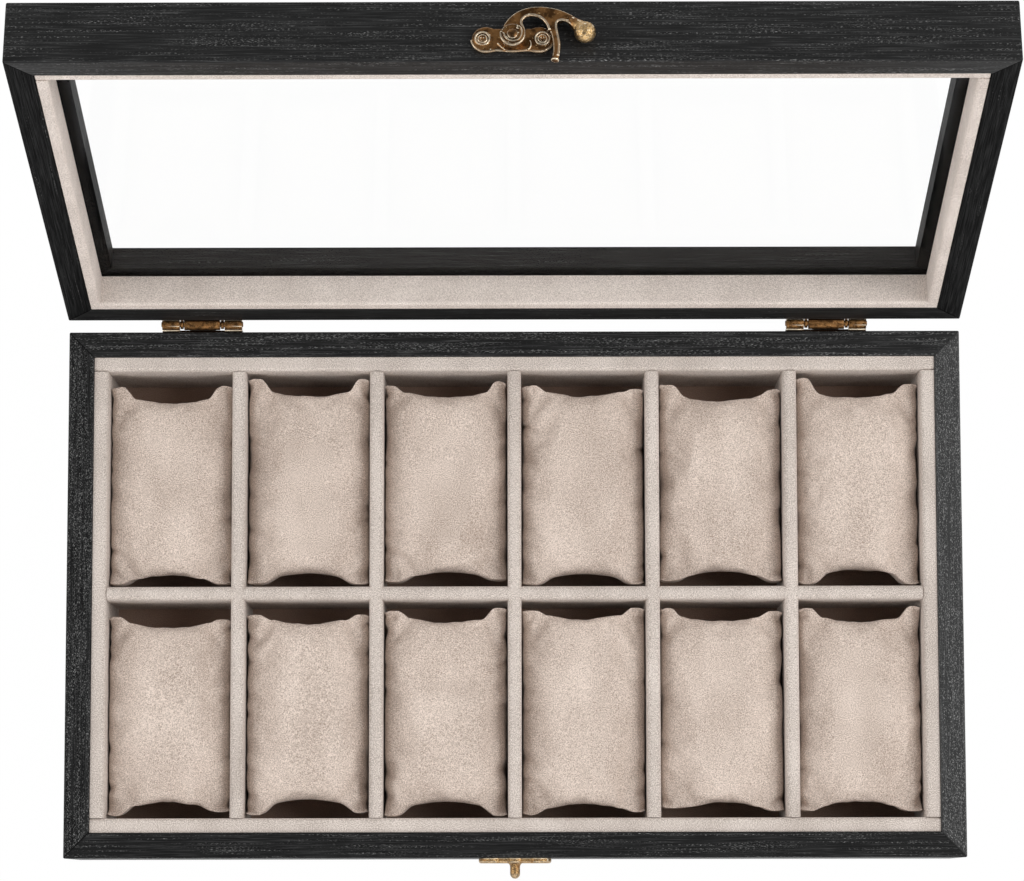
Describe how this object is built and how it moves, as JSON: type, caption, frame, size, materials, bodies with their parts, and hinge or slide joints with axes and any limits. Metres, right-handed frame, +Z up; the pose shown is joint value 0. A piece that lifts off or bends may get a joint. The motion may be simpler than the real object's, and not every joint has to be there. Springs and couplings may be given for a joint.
{
  "type": "wooden watch box",
  "caption": "Black wooden watch box with a hinged glass lid, suede-lined bays holding loose pillows, and a swing-hook clasp.",
  "frame": {"origin": "middle of the felt underside, on the surface the box rests on", "axes": "+X along the box to the right seen from the clasp side, +Y from the clasp to the hinges, +Z up"},
  "size_m": [0.34, 0.2914, 0.2544],
  "materials": {
    "black_wood": "black open-pore veneer, satin",
    "panel_board": "black painted board",
    "black_felt": "felt",
    "beige_suede": "microsuede over board",
    "pillow_suede": "microsuede over stuffing",
    "clear_glass": "clear, polished",
    "antique_bronze": "antique bronze plating, rubbed on the edges"
  },
  "bodies": {
    "case": {"case_front_wall": "black_wood", "case_back_wall": "black_wood", "case_left_wall": "black_wood", "case_right_wall": "black_wood", "bottom_panel": "panel_board", "base_felt": "black_felt", "floor_lining": "beige_suede", "case_lining_front": "beige_suede", "case_lining_back": "beige_suede", "case_lining_left": "beige_suede", "case_lining_right": "beige_suede", "long_divider": "beige_suede", "cross_divider_1": "beige_suede", "cross_divider_2": "beige_suede", "cross_divider_3": "beige_suede", "cross_divider_4": "beige_suede", "cross_divider_5": "beige_suede", "hinge_case_leaf_left": "antique_bronze", "hinge_case_leaf_right": "antique_bronze", "hinge_pin_left": "antique_bronze", "hinge_pin_right": "antique_bronze", "hinge_case_screws": "antique_bronze", "catch_plate": "antique_bronze", "catch_screws": "antique_bronze"},
    "lid": {"lid_front_rail": "black_wood", "lid_back_rail": "black_wood", "lid_left_rail": "black_wood", "lid_right_rail": "black_wood", "lid_lining_front": "beige_suede", "lid_lining_back": "beige_suede", "lid_lining_left": "beige_suede", "lid_lining_right": "beige_suede", "glass_pane": "clear_glass", "hinge_lid_leaf_left": "antique_bronze", "hinge_lid_leaf_right": "antique_bronze", "hinge_lid_screws": "antique_bronze", "clasp_plate": "antique_bronze", "clasp_screws": "antique_bronze", "hook_rivet": "antique_bronze"},
    "hook": {"swing_hook": "antique_bronze"},
    "pillow_back_1": {"pillow_back_1": "pillow_suede"},
    "pillow_back_2": {"pillow_back_2": "pillow_suede"},
    "pillow_back_3": {"pillow_back_3": "pillow_suede"},
    "pillow_back_4": {"pillow_back_4": "pillow_suede"},
    "pillow_back_5": {"pillow_back_5": "pillow_suede"},
    "pillow_back_6": {"pillow_back_6": "pillow_suede"},
    "pillow_front_1": {"pillow_front_1": "pillow_suede"},
    "pillow_front_2": {"pillow_front_2": "pillow_suede"},
    "pillow_front_3": {"pillow_front_3": "pillow_suede"},
    "pillow_front_4": {"pillow_front_4": "pillow_suede"},
    "pillow_front_5": {"pillow_front_5": "pillow_suede"},
    "pillow_front_6": {"pillow_front_6": "pillow_suede"}
  },
  "joints": [
    {"name": "lid_hinge", "type": "hinge", "parent": "case", "child": "lid", "pos_m": [0, 0.1029, 0.0552], "axis": [-1, 0, 0], "range_deg": [-106.8, 0]},
    {"name": "hook_swing", "type": "hinge", "parent": "lid", "child": "hook", "pos_m": [0, 0.16882, 0.24724], "axis": [0, 0.289, 0.9573], "range_deg": [-64, 40]},
    {"name": "pillow_back_1_lift", "type": "slide", "parent": "case", "child": "pillow_back_1", "axis": [0, 0, 1], "range_m": [0, 0.07]},
    {"name": "pillow_back_2_lift", "type": "slide", "parent": "case", "child": "pillow_back_2", "axis": [0, 0, 1], "range_m": [0, 0.07]},
    {"name": "pillow_back_3_lift", "type": "slide", "parent": "case", "child": "pillow_back_3", "axis": [0, 0, 1], "range_m": [0, 0.07]},
    {"name": "pillow_back_4_lift", "type": "slide", "parent": "case", "child": "pillow_back_4", "axis": [0, 0, 1], "range_m": [0, 0.07]},
    {"name": "pillow_back_5_lift", "type": "slide", "parent": "case", "child": "pillow_back_5", "axis": [0, 0, 1], "range_m": [0, 0.07]},
    {"name": "pillow_back_6_lift", "type": "slide", "parent": "case", "child": "pillow_back_6", "axis": [0, 0, 1], "range_m": [0, 0.07]},
    {"name": "pillow_front_1_lift", "type": "slide", "parent": "case", "child": "pillow_front_1", "axis": [0, 0, 1], "range_m": [0, 0.07]},
    {"name": "pillow_front_2_lift", "type": "slide", "parent": "case", "child": "pillow_front_2", "axis": [0, 0, 1], "range_m": [0, 0.07]},
    {"name": "pillow_front_3_lift", "type": "slide", "parent": "case", "child": "pillow_front_3", "axis": [0, 0, 1], "range_m": [0, 0.07]},
    {"name": "pillow_front_4_lift", "type": "slide", "parent": "case", "child": "pillow_front_4", "axis": [0, 0, 1], "range_m": [0, 0.07]},
    {"name": "pillow_front_5_lift", "type": "slide", "parent": "case", "child": "pillow_front_5", "axis": [0, 0, 1], "range_m": [0, 0.07]},
    {"name": "pillow_front_6_lift", "type": "slide", "parent": "case", "child": "pillow_front_6", "axis": [0, 0, 1], "range_m": [0, 0.07]}
  ]
}
